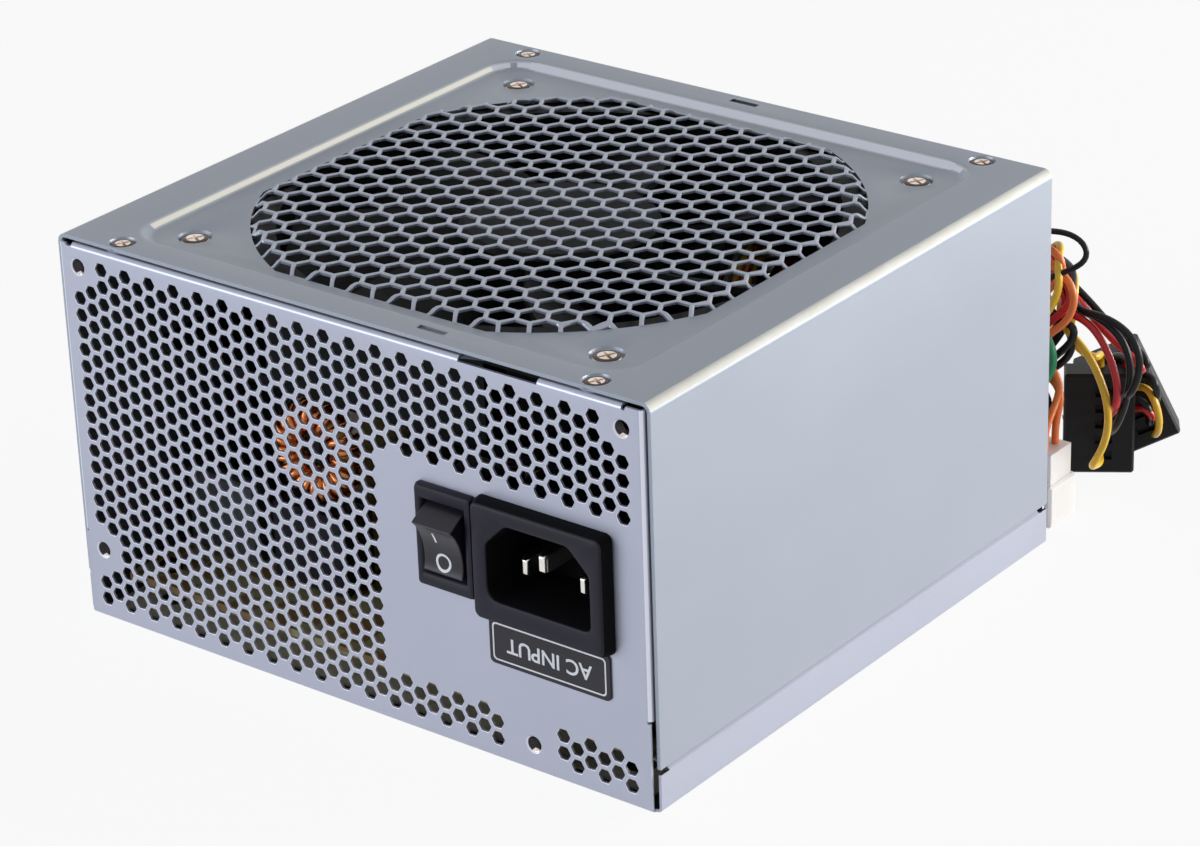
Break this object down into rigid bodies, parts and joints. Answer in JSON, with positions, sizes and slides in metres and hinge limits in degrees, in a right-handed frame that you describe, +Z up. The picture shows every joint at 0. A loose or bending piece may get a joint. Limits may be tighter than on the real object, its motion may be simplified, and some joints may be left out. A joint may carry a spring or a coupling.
{
  "type": "power supply unit",
  "caption": "Boxed power supply with a honeycomb vent panel, rocker switch, mains inlet, fan behind a domed grille, and an output cable bundle with plugs.",
  "frame": {"origin": "middle of the case's underside, on the plane it stands on", "axes": "-Y out of the socket panel, +X to the right seen from that side, +Z up through the fan grille"},
  "size_m": [0.1618, 0.2009, 0.0865],
  "materials": {
    "steel": "zinc-plated sheet, satin, lavender grey",
    "cover_steel": "zinc-plated sheet, satin, blue grey",
    "nickel": "nickel-plated screws",
    "black_plastic": "moulded black plastic",
    "tinned_pin": "tinned contact metal",
    "board": "phenolic board",
    "film": "insulating film",
    "alloy": "extruded aluminium",
    "ferrite": "ferrite and moulded epoxy",
    "tape": "yellow polyester tape",
    "copper": "enamelled copper wire",
    "sleeve": "coloured sleeve",
    "wire": "soft wire insulation",
    "nylon": "natural nylon"
  },
  "bodies": {
    "case": {"chassis_base": "steel", "top_cover": "cover_steel", "fan_frame": "black_plastic", "fan_bearing": "tinned_pin", "fan_stator": "copper", "switch_housing": "black_plastic", "switch_terminal_1": "tinned_pin", "switch_terminal_2": "tinned_pin", "inlet_body": "black_plastic", "live_pin": "tinned_pin", "neutral_pin": "tinned_pin", "earth_pin": "tinned_pin", "label_plate": "black_plastic", "circuit_board": "board", "insulating_sheet": "film", "primary_heatsink": "alloy", "secondary_heatsink": "alloy", "transistor_1": "ferrite", "transistor_2": "ferrite", "rectifier": "ferrite", "transformer_core": "ferrite", "transformer_winding": "tape", "standby_transformer": "tape", "choke_base": "black_plastic", "input_choke": "copper", "emi_choke": "sleeve", "output_choke": "copper", "bulk_capacitor": "black_plastic", "output_capacitor_1": "sleeve", "output_capacitor_2": "sleeve", "x_capacitor": "tape", "y_capacitor": "sleeve", "bridge_rectifier": "ferrite", "live_lead": "wire", "switched_lead": "wire", "neutral_lead": "wire", "earth_lead": "wire", "cable_grommet": "black_plastic", "main_cable": "wire", "cable_tie": "nylon", "main_connector": "nylon", "drive_cable": "wire", "drive_plug_1": "black_plastic", "link_cable": "wire", "drive_plug_2": "black_plastic", "cover_screw_1": "nickel", "fan_screw_1": "nickel", "board_screw_1": "nickel", "cover_screw_2": "nickel", "fan_screw_2": "nickel", "board_screw_2": "nickel", "cover_screw_3": "nickel", "fan_screw_3": "nickel", "board_screw_3": "nickel", "cover_screw_4": "nickel", "fan_screw_4": "nickel", "board_screw_4": "nickel"},
    "fan": {"fan_rotor": "black_plastic", "fan_shaft": "tinned_pin"},
    "switch_rocker": {"rocker": "black_plastic"}
  },
  "joints": [
    {"name": "fan_spin", "type": "hinge", "parent": "case", "child": "fan", "pos_m": [0, 0, 0.071], "axis": [0, 0, 1], "continuous": true},
    {"name": "rocker_tilt", "type": "hinge", "parent": "case", "child": "switch_rocker", "pos_m": [0.0261, -0.0696, 0.0454], "axis": [-1, 0, 0], "range_deg": [0, 30]}
  ]
}
